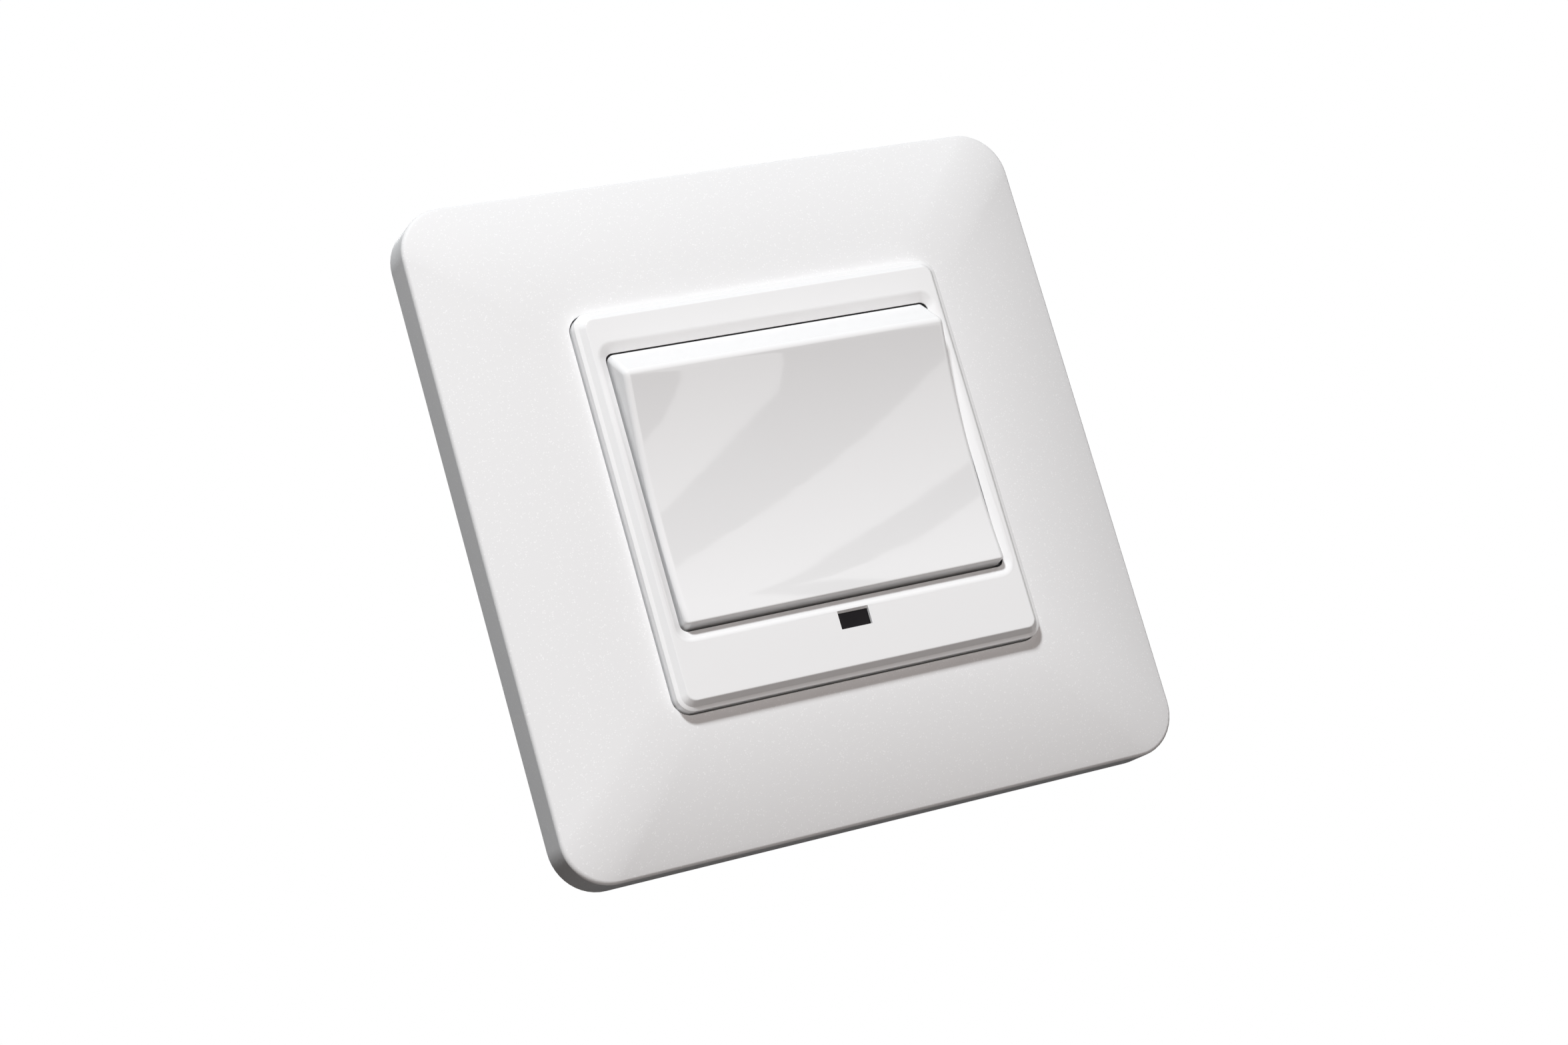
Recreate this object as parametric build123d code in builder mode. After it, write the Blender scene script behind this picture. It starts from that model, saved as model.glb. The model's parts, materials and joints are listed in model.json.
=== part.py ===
from build123d import *
import math
import os

# Smart light switch for a 60 mm wall box: cover frame, centre plate, spring-return rocker,
# steel yoke, and a housing with two circuit boards behind the wall plane.
# The wall plane is Y = 0, the front faces -Y and +Z is up. Heights are measured from the
# wall towards the room, so a negative height lies inside the wall box.

# Cover frame
frame_size = 86.0
frame_corner = 6.0
frame_edge_height = 5.2
frame_inner_height = 8.25
frame_wall = 1.8
frame_edge_round = 0.45
frame_opening = 51.3
frame_opening_corner = 2.3
ledge_opening = 48.5
ledge_height = 4.6
seat_height = 6.0
frame_rib = 1.2
frame_rib_spacing = 36.0
frame_rib_foot = 2.2

# Centre plate
plate_size = 51.0
plate_corner = 2.1
plate_wall_height = 9.5
plate_lip = 0.5
plate_lip_rise = 0.2
plate_face_size = 48.7
plate_face_corner = 1.1
plate_face_height = 10.5
plate_thickness = 1.6
plate_skirt = 1.4

# Recess and opening for the rocker, both centred on rocker_z
rocker_z = 1.97
recess_width = 47.4
recess_length = 38.3
recess_corner = 1.9
opening_width = 45.4
opening_length = 35.7
opening_corner = 1.0
opening_height = 9.9
opening_relief = 0.35

# Rocker
rocker_width = 44.8
rocker_top_edge = (16.35, 13.7)
rocker_bottom_edge = (-15.2, 11.45)
rocker_dish = 1.53
rocker_top_foot = (19.62, 9.9)
rocker_bottom_foot = (-15.62, 9.9)
rocker_skirt_height = 6.4
rocker_wall = 1.6
rocker_round = 0.6
pivot_height = 4.0
pivot_radius = 1.0
pivot_clearance = 0.05
pivot_length = 35.0

# Window of the infrared receiver
window_z = -18.64
window_width = 4.1
window_length = 1.92
window_recess = 0.4
window_top_slope = 0.3

# Yoke
yoke_size = 71.0
yoke_corner = 6.0
yoke_thickness = 1.2
yoke_opening_radius = 17.0
box_screw_spacing = 60.0
box_slot_width = 3.6
box_slot_length = 6.4
fixing_places = [(-14.5, 14.5), (14.5, -14.5)]
fixing_hole_radius = 1.45

# Housing behind the wall plane
housing_size = 46.0
housing_corner = 14.0
housing_depth = 24.0
housing_wall = 1.6
boss_radius = 3.0
pilot_radius = 1.25
pilot_depth = 12.0
base_thickness = 1.5

# Circuit boards
board_thickness = 1.6
board_span = 41.0
board_arm = 21.0
control_board_height = -1.6
power_board_height = -14.0

# Terminals
terminal_pitch = 7.0
terminal_z = -16.5
wire_entry_radius = 1.5
terminal_screw_depth = 19.0
cage_width = 3.4
block_width = 22.0
block_low = -21.2
block_high = -12.8
clamp_width = 4.6
clamp_low = -19.4
clamp_high = -13.8
clamp_front = -16.4
clamp_back = -21.4
terminal_head_radius = 1.9
terminal_head_length = 1.5
terminal_shank_radius = 1.2
terminal_slot = 0.5
terminal_thread_radius = 1.25

# Clips of the centre plate and the latches that they snap into
clip_width = 8.0
clip_x = 12.0
clip_inner = 22.2
clip_outer = 23.4
hook_tip = 21.4
latch_inner = 21.2
latch_outer = 22.2
latch_width = 12.0
latch_rise = 3.1
latch_window_rise = 1.75
latch_window_width = 8.6

# Lens flange
lens_flange = 1.2
lens_flange_thickness = 0.8

# Cradle that carries the rocker on its pivot pin
cradle_top = 8.2
cradle_thickness = 1.4
cradle_width = 34.0
cradle_length = 22.0
cradle_slot = (7.0, 3.0)
cradle_slot_spacing = (16.0, 12.0)
ear_offset = 12.0
ear_thickness = 2.0
ear_radius = 2.4
ear_foot = 9.0
presser_offset = 8.0
presser_height = 5.0
presser_round = 0.8
presser_width = 4.4
hook_offset = 7.0
hook_width = 5.0
rocker_rib = 1.2
rocker_rib_offset = 9.0

# Mechanism base
base_size = 46.0
base_corner = 4.0
tower_offset = 16.2
tower_thickness = 2.4
tower_radius = 2.4
tower_bore_clearance = 0.02
stake_height = 3.5
stake_width = 1.4
stake_clearance = 0.05
stake_x = 8.0
switch_window = (10.6, 10.6)
ear_slot = (3.0, 6.0)
receiver_slot = (7.0, 4.0)
yoke_receiver_slot = (9.0, 8.0)

# Return spring
spring_thickness = 0.25
spring_width = 19.0
spring_gap = 13.0
spring_arm = 12.0
spring_foot_z = 16.8
spring_bend = 0.8

# Push switch and its plunger
switch_z = 9.97
switch_size = 10.0
switch_top = 2.6
switch_edge = 0.5
plunger_radius = 1.7
plunger_clearance = 0.08
plunger_top = 4.8
plunger_bottom = 1.4
plunger_well = 0.1

# Infrared receiver
receiver_z = -18.5
receiver_body_height = 3.6
receiver_body = (5.4, 4.8, 2.8)
receiver_dome = 1.5
receiver_dome_rise = 1.2
receiver_dome_taper = 25
receiver_lead = 0.5
receiver_lead_pitch = 1.27

# Control chip
chip_place = (-7.0, -6.0)
chip_size = 7.0
chip_gap = 0.1
chip_thickness = 1.1
chip_span = 9.0
chip_lead_pitch = 1.6
chip_lead_width = 0.6
chip_lead_thickness = 0.3

# Parts on the power board: place, then outline and rise
relay_place = (-10.0, 2.0)
relay_body = (18.0, 10.0, 9.8)
relay_edge = 0.4
transformer_place = (9.0, 1.8)
core_body = (12.4, 5.0, 9.0)
bobbin_flange = (9.0, 11.6)
bobbin_foot = 2.0
bobbin_cap = 1.0
winding_body = (7.6, 10.0, 5.0)
winding_corner = 2.0
film_place = (0.0, 14.6)
film_body = (13.0, 5.0, 8.5)
film_edge = 0.4
storage_place = (15.6, -6.6)
storage_radius = 3.15
storage_rise = 9.2
fuse_place = (-6.5, -7.2)
fuse_radius = 3.6
fuse_rise = 7.6
absorber_x = 4.5
absorber_z = -10.0
absorber_rise = 5.0
absorber_radius = 4.0
absorber_thickness = 3.4
absorber_leads = [(2.0, -8.3), (7.0, -8.3)]
absorber_lead = 0.7
rectifier_place = (-15.0, -7.4)
rectifier_body = (5.6, 4.4, 2.4)
rectifier_gap = 0.2
rectifier_lead = (0.8, 6.0, 0.4)
rectifier_lead_pitch = 3.6
connector_place = (0.0, 9.6)
connector_body = (12.7, 2.5)
connector_pitch = 2.54
connector_notch = (0.5, 0.9)

# Screws that hold base, yoke and housing together
screw_head_radius = 2.2
screw_head_height = 1.4
screw_shank_radius = 1.2
screw_tip = -8.0
recess_span = 2.4
recess_slot = 0.6
recess_depth = 0.8

# Openings in the housing
screw_access = 4.2
screw_window_length = 18.6
housing_edge = 0.8
vent_count = 5
vent_pitch = 3.0
vent_length = 16.0
vent_width = 1.4
vent_centre_z = 9.0


def front(height):
    """Plane parallel to the wall at a height; its x is X and its y is Z."""
    return Plane.XZ.offset(height)


def side(x):
    """Plane across the switch at x; its x is Z and its y is the height."""
    return Plane(origin=(x, 0, 0), x_dir=(0, 0, 1), z_dir=(1, 0, 0))


# Depth by which one form of a piece runs into the form that carries it
root = 0.4
base_height = yoke_thickness + base_thickness
plate_back = plate_face_height - plate_thickness

# Cover frame: side walls, then a crown that flattens towards the opening.
# Its ridges are soft because every level is a rounded square.
crown_start = frame_opening / 2 - 1.5
crown_run = frame_size / 2 - crown_start
crown_rise = frame_inner_height - frame_edge_height
crown_radius = (crown_run ** 2 + crown_rise ** 2) / (2 * crown_rise)
crown_levels = 4
crown_corner_loss = 1.5

# The crest between side wall and crown is a small round, turned until it meets the crown
crest_turn = math.pi / 2 - math.asin(crown_run / crown_radius)
crest_steps = 2
crest_inset = frame_edge_round * (1 - math.cos(crest_turn))


def crown_height(run):
    """Height of the crown at a distance outwards from where it lies level."""
    return frame_inner_height - crown_radius + math.sqrt(crown_radius ** 2 - run ** 2)


def crown_level(part_way, inset):
    """Height, size and corner radius part way up the crown, moved inwards and down by inset."""
    run = (crown_run - crest_inset) * (1 - part_way)
    size = 2 * (crown_start + run - inset)
    corner = frame_corner - crest_inset - crown_corner_loss * part_way - inset / 2
    return crown_height(run) - inset, size, corner


crest_start = crown_height(crown_run - crest_inset) - frame_edge_round * math.sin(crest_turn)


with BuildPart() as frame_hollow:
    start_height, rim_size, rim_corner = crown_level(0, frame_wall)
    with BuildSketch(front(0)):
        RectangleRounded(rim_size, rim_size, rim_corner)
    extrude(amount=start_height)
    for part_way in (0, 1):
        height, size, corner = crown_level(part_way, frame_wall)
        with BuildSketch(front(height)):
            RectangleRounded(size, size, corner)
    loft(ruled=True)

with BuildPart() as cover_frame:
    with BuildSketch(front(0)):
        RectangleRounded(frame_size, frame_size, frame_corner)
    extrude(amount=crest_start)
    for step in range(crest_steps + 1):
        turn = crest_turn * step / crest_steps
        inset = frame_edge_round * (1 - math.cos(turn))
        size = frame_size - 2 * inset
        with BuildSketch(front(crest_start + frame_edge_round * math.sin(turn))):
            RectangleRounded(size, size, frame_corner - inset)
    loft(ruled=True)
    for level in range(crown_levels + 1):
        height, size, corner = crown_level(level / crown_levels, 0)
        with BuildSketch(front(height)):
            RectangleRounded(size, size, corner)
    loft(ruled=True)
    add(frame_hollow.part, mode=Mode.SUBTRACT)
    # Collar and ledge that the centre plate presses on
    with BuildSketch(front(ledge_height)):
        RectangleRounded(
            frame_opening + 2 * frame_wall,
            frame_opening + 2 * frame_wall,
            frame_opening_corner + frame_wall,
        )
    extrude(amount=frame_inner_height - frame_wall + root - ledge_height)
    with BuildSketch(front(seat_height)):
        RectangleRounded(frame_opening, frame_opening, frame_opening_corner)
    extrude(amount=frame_inner_height, mode=Mode.SUBTRACT)
    with BuildSketch(front(0)):
        RectangleRounded(ledge_opening, ledge_opening, frame_opening_corner)
    extrude(amount=frame_inner_height, mode=Mode.SUBTRACT)
    # Stiffening ribs between the collar and the side walls
    rib_run = (frame_size - frame_opening) / 2 - 1.5 * frame_wall
    rib_centre = (frame_size + frame_opening) / 4
    with BuildSketch(front(frame_rib_foot)):
        with GridLocations(2 * rib_centre, frame_rib_spacing, 2, 2):
            Rectangle(rib_run, frame_rib)
        with GridLocations(frame_rib_spacing, 2 * rib_centre, 2, 2):
            Rectangle(frame_rib, rib_run)
    extrude(until=Until.NEXT)

# Centre plate: skirt, lip and bevel outside, sloped recess and opening for the rocker inside
lip_height = plate_wall_height + plate_lip_rise
lip_size = plate_size - 2 * plate_lip
skirt_inside = plate_size - 2 * plate_skirt
clip_tip = base_height + 0.2
hook_depth = clip_inner - hook_tip
clip_outline = [
    (clip_outer, plate_back),
    (clip_outer, clip_tip + 0.6),
    (clip_outer - 0.7, clip_tip),
    (clip_inner, clip_tip),
    (hook_tip, clip_tip + hook_depth),
    (hook_tip, clip_tip + 1.5),
    (clip_inner, clip_tip + 1.5),
    (clip_inner, plate_back),
]

with BuildPart() as centre_plate:
    with BuildSketch(front(seat_height)):
        RectangleRounded(plate_size, plate_size, plate_corner)
    extrude(amount=plate_wall_height - seat_height)
    with BuildSketch(front(plate_wall_height)):
        RectangleRounded(plate_size, plate_size, plate_corner)
    with BuildSketch(front(lip_height)):
        RectangleRounded(lip_size, lip_size, plate_corner - plate_lip)
    loft(ruled=True)
    with BuildSketch(front(lip_height)):
        RectangleRounded(lip_size, lip_size, plate_corner - plate_lip)
    with BuildSketch(front(plate_face_height)):
        RectangleRounded(plate_face_size, plate_face_size, plate_face_corner)
    loft(ruled=True)
    with BuildSketch(front(seat_height)):
        RectangleRounded(skirt_inside, skirt_inside, plate_corner - plate_skirt + 0.3)
    extrude(amount=plate_back - seat_height, mode=Mode.SUBTRACT)
    # Recess that slopes down to the rocker's opening
    with BuildSketch(front(plate_face_height)):
        with Locations((0, rocker_z)):
            RectangleRounded(recess_width, recess_length, recess_corner)
    with BuildSketch(front(opening_height)):
        with Locations((0, rocker_z)):
            RectangleRounded(opening_width, opening_length, opening_corner)
    loft(ruled=True, mode=Mode.SUBTRACT)
    # The opening widens behind its edge, where the rocker's upper end swings through
    with BuildSketch(front(opening_height)):
        with Locations((0, rocker_z)):
            RectangleRounded(opening_width, opening_length, opening_corner)
    with BuildSketch(front(plate_back)):
        with Locations((0, rocker_z)):
            RectangleRounded(
                opening_width + 2 * opening_relief,
                opening_length + 2 * opening_relief,
                opening_corner,
            )
    loft(ruled=True, mode=Mode.SUBTRACT)
    # Receiver window, with its upper edge sloped
    with BuildSketch(front(seat_height)):
        with Locations((0, window_z)):
            Rectangle(window_width, window_length)
    extrude(amount=plate_face_height - seat_height, mode=Mode.SUBTRACT)
    window_top = window_z + window_length / 2
    window_edge = (
        centre_plate.edges()
        .filter_by_position(Axis.Z, window_top - 0.01, window_top + 0.01)
        .filter_by_position(Axis.Y, -plate_face_height - 0.01, -plate_face_height + 0.01)
    )
    chamfer(window_edge, length=window_top_slope)
    # Clips that snap into the mechanism base
    for x in (-clip_x, clip_x):
        for up in (-1, 1):
            with BuildSketch(side(x)):
                with BuildLine():
                    Polyline([(up * z, height) for z, height in clip_outline], close=True)
                make_face()
            extrude(amount=clip_width / 2, both=True)

# Smoked lens behind the window, held by a flange under the plate
with BuildPart() as receiver_lens:
    with BuildSketch(front(plate_back - lens_flange_thickness)):
        with Locations((0, window_z)):
            Rectangle(window_width + 2 * lens_flange, window_length + 2 * lens_flange)
    extrude(amount=lens_flange_thickness)
    with BuildSketch(front(plate_back)):
        with Locations((0, window_z)):
            Rectangle(window_width, window_length)
    extrude(amount=plate_thickness - window_recess)


def rocker_outline(skirt):
    """Rocker seen from the side: dished face, sloped upper end and short lower end."""
    with BuildSketch() as outline:
        with BuildLine():
            SagittaArc(rocker_top_edge, rocker_bottom_edge, rocker_dish)
            Polyline(
                rocker_bottom_edge,
                rocker_bottom_foot,
                (rocker_bottom_foot[0], skirt),
                (rocker_top_foot[0], skirt),
                rocker_top_foot,
                rocker_top_edge,
            )
        make_face()
    return outline.sketch


# Cradle that carries the rocker on its pivot pin
cradle_underside = cradle_top - cradle_thickness
hook_inner = cradle_width / 2 + 0.05
hook_root = cradle_top + 0.8
hook_outline = [
    (hook_inner + 1.2, hook_root),
    (hook_inner + 1.2, cradle_underside - 0.4),
    (hook_inner + 0.6, cradle_underside - 0.9),
    (hook_inner, cradle_underside - 0.9),
    (hook_inner - 0.8, cradle_underside - 0.4),
    (hook_inner - 0.8, cradle_underside),
    (hook_inner, cradle_underside),
    (hook_inner, hook_root),
]

# Rocker: a dished shell whose skirt runs down into the opening
with BuildPart() as rocker:
    with BuildSketch(side(0)):
        add(rocker_outline(rocker_skirt_height))
    extrude(amount=rocker_width / 2, both=True)
    outer_edges = rocker.edges().filter_by(
        lambda edge: -edge.center().Y > rocker_skirt_height + 0.1
        and not (
            edge.geom_type == GeomType.LINE
            and abs(-edge.center().Y - rocker_top_foot[1]) < 0.01
        )
    )
    fillet(outer_edges, radius=rocker_round)
    with BuildSketch(side(0)):
        add(rocker_outline(rocker_skirt_height - 2 * rocker_wall))
        offset(amount=-rocker_wall, kind=Kind.INTERSECTION)
    extrude(amount=rocker_width / 2 - rocker_wall, both=True, mode=Mode.SUBTRACT)
    # Ribs that stand on the cradle
    with BuildSketch(front(cradle_top)):
        with Locations((0, rocker_z - rocker_rib_offset), (0, rocker_z + rocker_rib_offset)):
            Rectangle(2 * hook_inner + 2.4, rocker_rib)
        with GridLocations(cradle_width - 2 * rocker_rib, 0, 2, 1):
            with Locations((0, rocker_z)):
                Rectangle(rocker_rib, 2 * rocker_rib_offset)
    extrude(until=Until.NEXT)
    # Hooks under the cradle's edges
    for along in (-hook_offset, hook_offset):
        for across in (-1, 1):
            with BuildSketch(Plane.XY.offset(rocker_z + along)):
                with BuildLine():
                    Polyline([(across * x, -height) for x, height in hook_outline], close=True)
                make_face()
            extrude(amount=hook_width / 2, both=True)

with BuildPart() as rocker_cradle:
    with BuildSketch(front(cradle_underside)):
        with Locations((0, rocker_z)):
            Rectangle(cradle_width, cradle_length)
            with GridLocations(*cradle_slot_spacing, 2, 2):
                Rectangle(*cradle_slot, mode=Mode.SUBTRACT)
    extrude(amount=cradle_thickness)
    for x in (-ear_offset, ear_offset):
        with BuildSketch(side(x)):
            with Locations((rocker_z, pivot_height)):
                Circle(ear_radius)
            with Locations((rocker_z, cradle_underside + root / 2)):
                Rectangle(ear_foot, root)
            make_hull()
        extrude(amount=ear_thickness / 2, both=True)
    with BuildSketch(side(0)):
        with Locations((rocker_z + presser_offset, presser_height + presser_round)):
            Circle(presser_round)
        with Locations((rocker_z + presser_offset, cradle_underside + root / 2)):
            Rectangle(4 * presser_round, root)
        make_hull()
    extrude(amount=presser_width / 2, both=True)
    with BuildSketch(side(-cradle_width / 2)):
        with Locations((rocker_z, pivot_height)):
            Circle(pivot_radius + pivot_clearance)
    extrude(amount=cradle_width, mode=Mode.SUBTRACT)

with BuildPart() as pivot_pin:
    with BuildSketch(side(0)):
        with Locations((rocker_z, pivot_height)):
            Circle(pivot_radius)
    extrude(amount=pivot_length / 2, both=True)

# Mechanism base: clamps on the front of the yoke and carries the pivot towers
with BuildPart() as mechanism_base:
    with BuildSketch(front(yoke_thickness)):
        RectangleRounded(base_size, base_size, base_corner)
        with Locations((0, switch_z)):
            Rectangle(*switch_window, mode=Mode.SUBTRACT)
        with Locations((0, receiver_z)):
            Rectangle(*receiver_slot, mode=Mode.SUBTRACT)
        with Locations((-ear_offset, rocker_z), (ear_offset, rocker_z)):
            Rectangle(*ear_slot, mode=Mode.SUBTRACT)
        with Locations(fixing_places):
            Circle(fixing_hole_radius, mode=Mode.SUBTRACT)
    extrude(amount=base_thickness)
    for x in (-tower_offset, tower_offset):
        with BuildSketch(side(x)):
            with Locations((rocker_z, pivot_height)):
                Circle(tower_radius)
            with Locations((rocker_z, base_height - root / 2)):
                Rectangle(ear_foot, root)
            make_hull()
        extrude(amount=tower_thickness / 2, both=True)
    with BuildSketch(side(-base_size / 2)):
        with Locations((rocker_z, pivot_height)):
            Circle(pivot_radius + tower_bore_clearance)
    extrude(amount=base_size, mode=Mode.SUBTRACT)
    # Latch walls with a window for each clip of the centre plate
    latch_centre = (latch_inner + latch_outer) / 2
    with BuildSketch(front(base_height)):
        with GridLocations(2 * clip_x, 2 * latch_centre, 2, 2):
            Rectangle(latch_width, latch_outer - latch_inner)
    extrude(amount=latch_rise)
    with BuildSketch(front(base_height)):
        with GridLocations(2 * clip_x, 2 * latch_centre, 2, 2):
            Rectangle(latch_window_width, latch_outer - latch_inner)
    extrude(amount=latch_window_rise, mode=Mode.SUBTRACT)
    # Stakes that hold the return spring
    with BuildSketch(front(base_height)):
        with Locations((-stake_x, spring_foot_z), (stake_x, spring_foot_z)):
            Rectangle(stake_width, stake_width)
    extrude(amount=stake_height - base_height)

# Return spring: a strip staked at its foot, with two bowed arms under the cradle
spring_level = base_height + spring_thickness / 2
spring_line = [
    (spring_foot_z + 1.1, spring_level),
    (spring_foot_z - 2.6, spring_level),
    (spring_foot_z - 9.0, spring_level + 2.8),
    (spring_foot_z - 10.6, spring_level + 2.2),
]
with BuildPart() as return_spring:
    with BuildSketch(side(0)):
        with BuildLine():
            FilletPolyline(*spring_line, radius=spring_bend)
        trace(line_width=spring_thickness)
    extrude(amount=spring_width / 2, both=True)
    with BuildSketch(front(0)):
        with Locations((0, spring_foot_z - 1)):
            Rectangle(spring_gap, spring_arm, align=(Align.CENTER, Align.MAX))
    extrude(amount=plate_back, mode=Mode.SUBTRACT)
    with BuildSketch(front(0)):
        with Locations((-stake_x, spring_foot_z), (stake_x, spring_foot_z)):
            Rectangle(stake_width + 2 * stake_clearance, stake_width + 2 * stake_clearance)
    extrude(amount=plate_back, mode=Mode.SUBTRACT)

# Yoke: steel plate with slots for the wall box screws
with BuildPart() as support_yoke:
    with BuildSketch(front(0)):
        RectangleRounded(yoke_size, yoke_size, yoke_corner)
        Circle(yoke_opening_radius, mode=Mode.SUBTRACT)
        with Locations((0, receiver_z)):
            Rectangle(*yoke_receiver_slot, mode=Mode.SUBTRACT)
        with Locations((-box_screw_spacing / 2, 0), (box_screw_spacing / 2, 0)):
            SlotOverall(box_slot_length, box_slot_width, mode=Mode.SUBTRACT)
        with Locations((0, -box_screw_spacing / 2), (0, box_screw_spacing / 2)):
            SlotOverall(box_slot_length, box_slot_width, rotation=90, mode=Mode.SUBTRACT)
        with Locations(fixing_places):
            Circle(fixing_hole_radius, mode=Mode.SUBTRACT)
    extrude(amount=yoke_thickness)

# Rear housing: a cup behind the yoke with screw bosses, wire entries and vents
housing_inside = housing_size - 2 * housing_wall
housing_floor = housing_depth - housing_wall
terminal_xs = (-terminal_pitch, 0, terminal_pitch)
with BuildPart() as rear_housing:
    with BuildSketch(front(-housing_depth)):
        RectangleRounded(housing_size, housing_size, housing_corner)
    extrude(amount=housing_depth)
    rear_edges = rear_housing.edges().filter_by_position(
        Axis.Y, housing_depth - 0.01, housing_depth + 0.01
    )
    chamfer(rear_edges, length=housing_edge)
    with BuildSketch(front(-housing_floor)):
        RectangleRounded(housing_inside, housing_inside, housing_corner - housing_wall)
    extrude(amount=housing_floor, mode=Mode.SUBTRACT)
    with BuildSketch(front(-housing_floor)):
        with Locations(fixing_places):
            Circle(boss_radius)
    extrude(amount=housing_floor)
    with BuildSketch(front(-pilot_depth)):
        with Locations(fixing_places):
            Circle(pilot_radius)
    extrude(amount=pilot_depth, mode=Mode.SUBTRACT)
    with BuildSketch(front(-housing_depth)):
        with Locations([(x, terminal_z) for x in terminal_xs]):
            Circle(wire_entry_radius)
        with Locations((0, vent_centre_z)):
            with GridLocations(0, vent_pitch, 1, vent_count):
                Rectangle(vent_length, vent_width)
    extrude(amount=housing_wall, mode=Mode.SUBTRACT)
    with BuildSketch(Plane.XY.offset(-housing_size / 2)):
        with Locations((0, terminal_screw_depth)):
            Rectangle(screw_window_length, screw_access)
    extrude(amount=housing_wall, mode=Mode.SUBTRACT)

# Screws that hold the base, the yoke and the housing together
with BuildPart() as housing_screws:
    with BuildSketch(front(base_height)):
        with Locations(fixing_places):
            Circle(screw_head_radius)
    extrude(amount=screw_head_height)
    with BuildSketch(front(base_height + screw_head_height - recess_depth)):
        with Locations(fixing_places):
            Rectangle(recess_span, recess_slot)
            Rectangle(recess_slot, recess_span)
    extrude(amount=recess_depth, mode=Mode.SUBTRACT)
    with BuildSketch(front(screw_tip)):
        with Locations(fixing_places):
            Circle(screw_shank_radius)
    extrude(amount=base_height - screw_tip)


def board_outline(span, arm):
    """Cross-shaped board that leaves room for the screw bosses."""
    with BuildSketch() as outline:
        Rectangle(span, arm)
        Rectangle(arm, span)
    return outline.sketch


# Circuit boards
with BuildPart() as control_board:
    with BuildSketch(front(control_board_height - board_thickness)):
        add(board_outline(board_span, board_arm))
    extrude(amount=board_thickness)

with BuildPart() as power_board:
    with BuildSketch(front(power_board_height - board_thickness)):
        add(board_outline(board_span, board_arm))
    extrude(amount=board_thickness)

power_back = power_board_height - board_thickness

# Push switch under the rocker's upper half
with BuildPart() as push_switch:
    with BuildSketch(front(control_board_height)):
        with Locations((0, switch_z)):
            Rectangle(switch_size, switch_size)
    extrude(amount=switch_top - control_board_height)
    chamfer(push_switch.faces().sort_by(Axis.Y)[0].edges(), length=switch_edge)
    with BuildSketch(front(plunger_well)):
        with Locations((0, switch_z)):
            Circle(plunger_radius + plunger_clearance)
    extrude(amount=switch_top, mode=Mode.SUBTRACT)

with BuildPart() as switch_plunger:
    with BuildSketch(front(plunger_bottom)):
        with Locations((0, switch_z)):
            Circle(plunger_radius)
    extrude(amount=plunger_top - plunger_bottom)

# Infrared receiver on three leads, close behind the window
with BuildPart() as infrared_receiver:
    body_width, body_length, body_rise = receiver_body
    with BuildSketch(front(receiver_body_height)):
        with Locations((0, receiver_z)):
            Rectangle(body_width, body_length)
    extrude(amount=body_rise)
    with BuildSketch(front(receiver_body_height + body_rise)):
        with Locations((0, receiver_z)):
            Circle(receiver_dome)
    extrude(amount=receiver_dome_rise, taper=receiver_dome_taper)
    with BuildSketch(front(control_board_height)):
        with Locations((0, receiver_z)):
            with GridLocations(receiver_lead_pitch, 0, 3, 1):
                Rectangle(receiver_lead, receiver_lead)
    extrude(amount=receiver_body_height - control_board_height)

with BuildPart() as control_chip:
    with BuildSketch(front(control_board_height + chip_gap)):
        with Locations(chip_place):
            Rectangle(chip_size, chip_size)
    extrude(amount=chip_thickness)
    with BuildSketch(front(control_board_height)):
        with Locations(chip_place):
            with GridLocations(chip_lead_pitch, 0, 4, 1):
                Rectangle(chip_lead_width, chip_span)
    extrude(amount=chip_lead_thickness)

# Parts on the power board
with BuildPart() as relay:
    with BuildSketch(front(power_board_height)):
        with Locations(relay_place):
            Rectangle(relay_body[0], relay_body[1])
    extrude(amount=relay_body[2])
    chamfer(relay.faces().sort_by(Axis.Y)[0].edges(), length=relay_edge)

with BuildPart() as transformer:
    core_rise = core_body[2]
    cap_height = bobbin_foot + winding_body[2]
    with BuildSketch(front(power_board_height)):
        with Locations(transformer_place):
            Rectangle(core_body[0], core_body[1])
    extrude(amount=core_rise)
    with BuildSketch(front(power_board_height)):
        with Locations(transformer_place):
            Rectangle(*bobbin_flange)
    extrude(amount=bobbin_foot)
    with BuildSketch(front(power_board_height + bobbin_foot)):
        with Locations(transformer_place):
            RectangleRounded(winding_body[0], winding_body[1], winding_corner)
    extrude(amount=winding_body[2])
    with BuildSketch(front(power_board_height + cap_height)):
        with Locations(transformer_place):
            Rectangle(*bobbin_flange)
    extrude(amount=bobbin_cap)

with BuildPart() as film_capacitor:
    with BuildSketch(front(power_board_height)):
        with Locations(film_place):
            Rectangle(film_body[0], film_body[1])
    extrude(amount=film_body[2])
    chamfer(film_capacitor.faces().sort_by(Axis.Y)[0].edges(), length=film_edge)

with BuildPart() as storage_capacitor:
    with BuildSketch(front(power_board_height)):
        with Locations(storage_place):
            Circle(storage_radius)
    extrude(amount=storage_rise)

with BuildPart() as fuse:
    with BuildSketch(front(power_board_height)):
        with Locations(fuse_place):
            Circle(fuse_radius)
    extrude(amount=fuse_rise)

with BuildPart() as surge_absorber:
    with BuildSketch(Plane.XY.offset(absorber_z)):
        with Locations((absorber_x, -power_board_height - absorber_rise)):
            Circle(absorber_radius)
    extrude(amount=absorber_thickness)
    with BuildSketch(front(power_board_height)):
        with Locations(absorber_leads):
            Rectangle(absorber_lead, absorber_lead)
    extrude(amount=absorber_radius)

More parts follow.
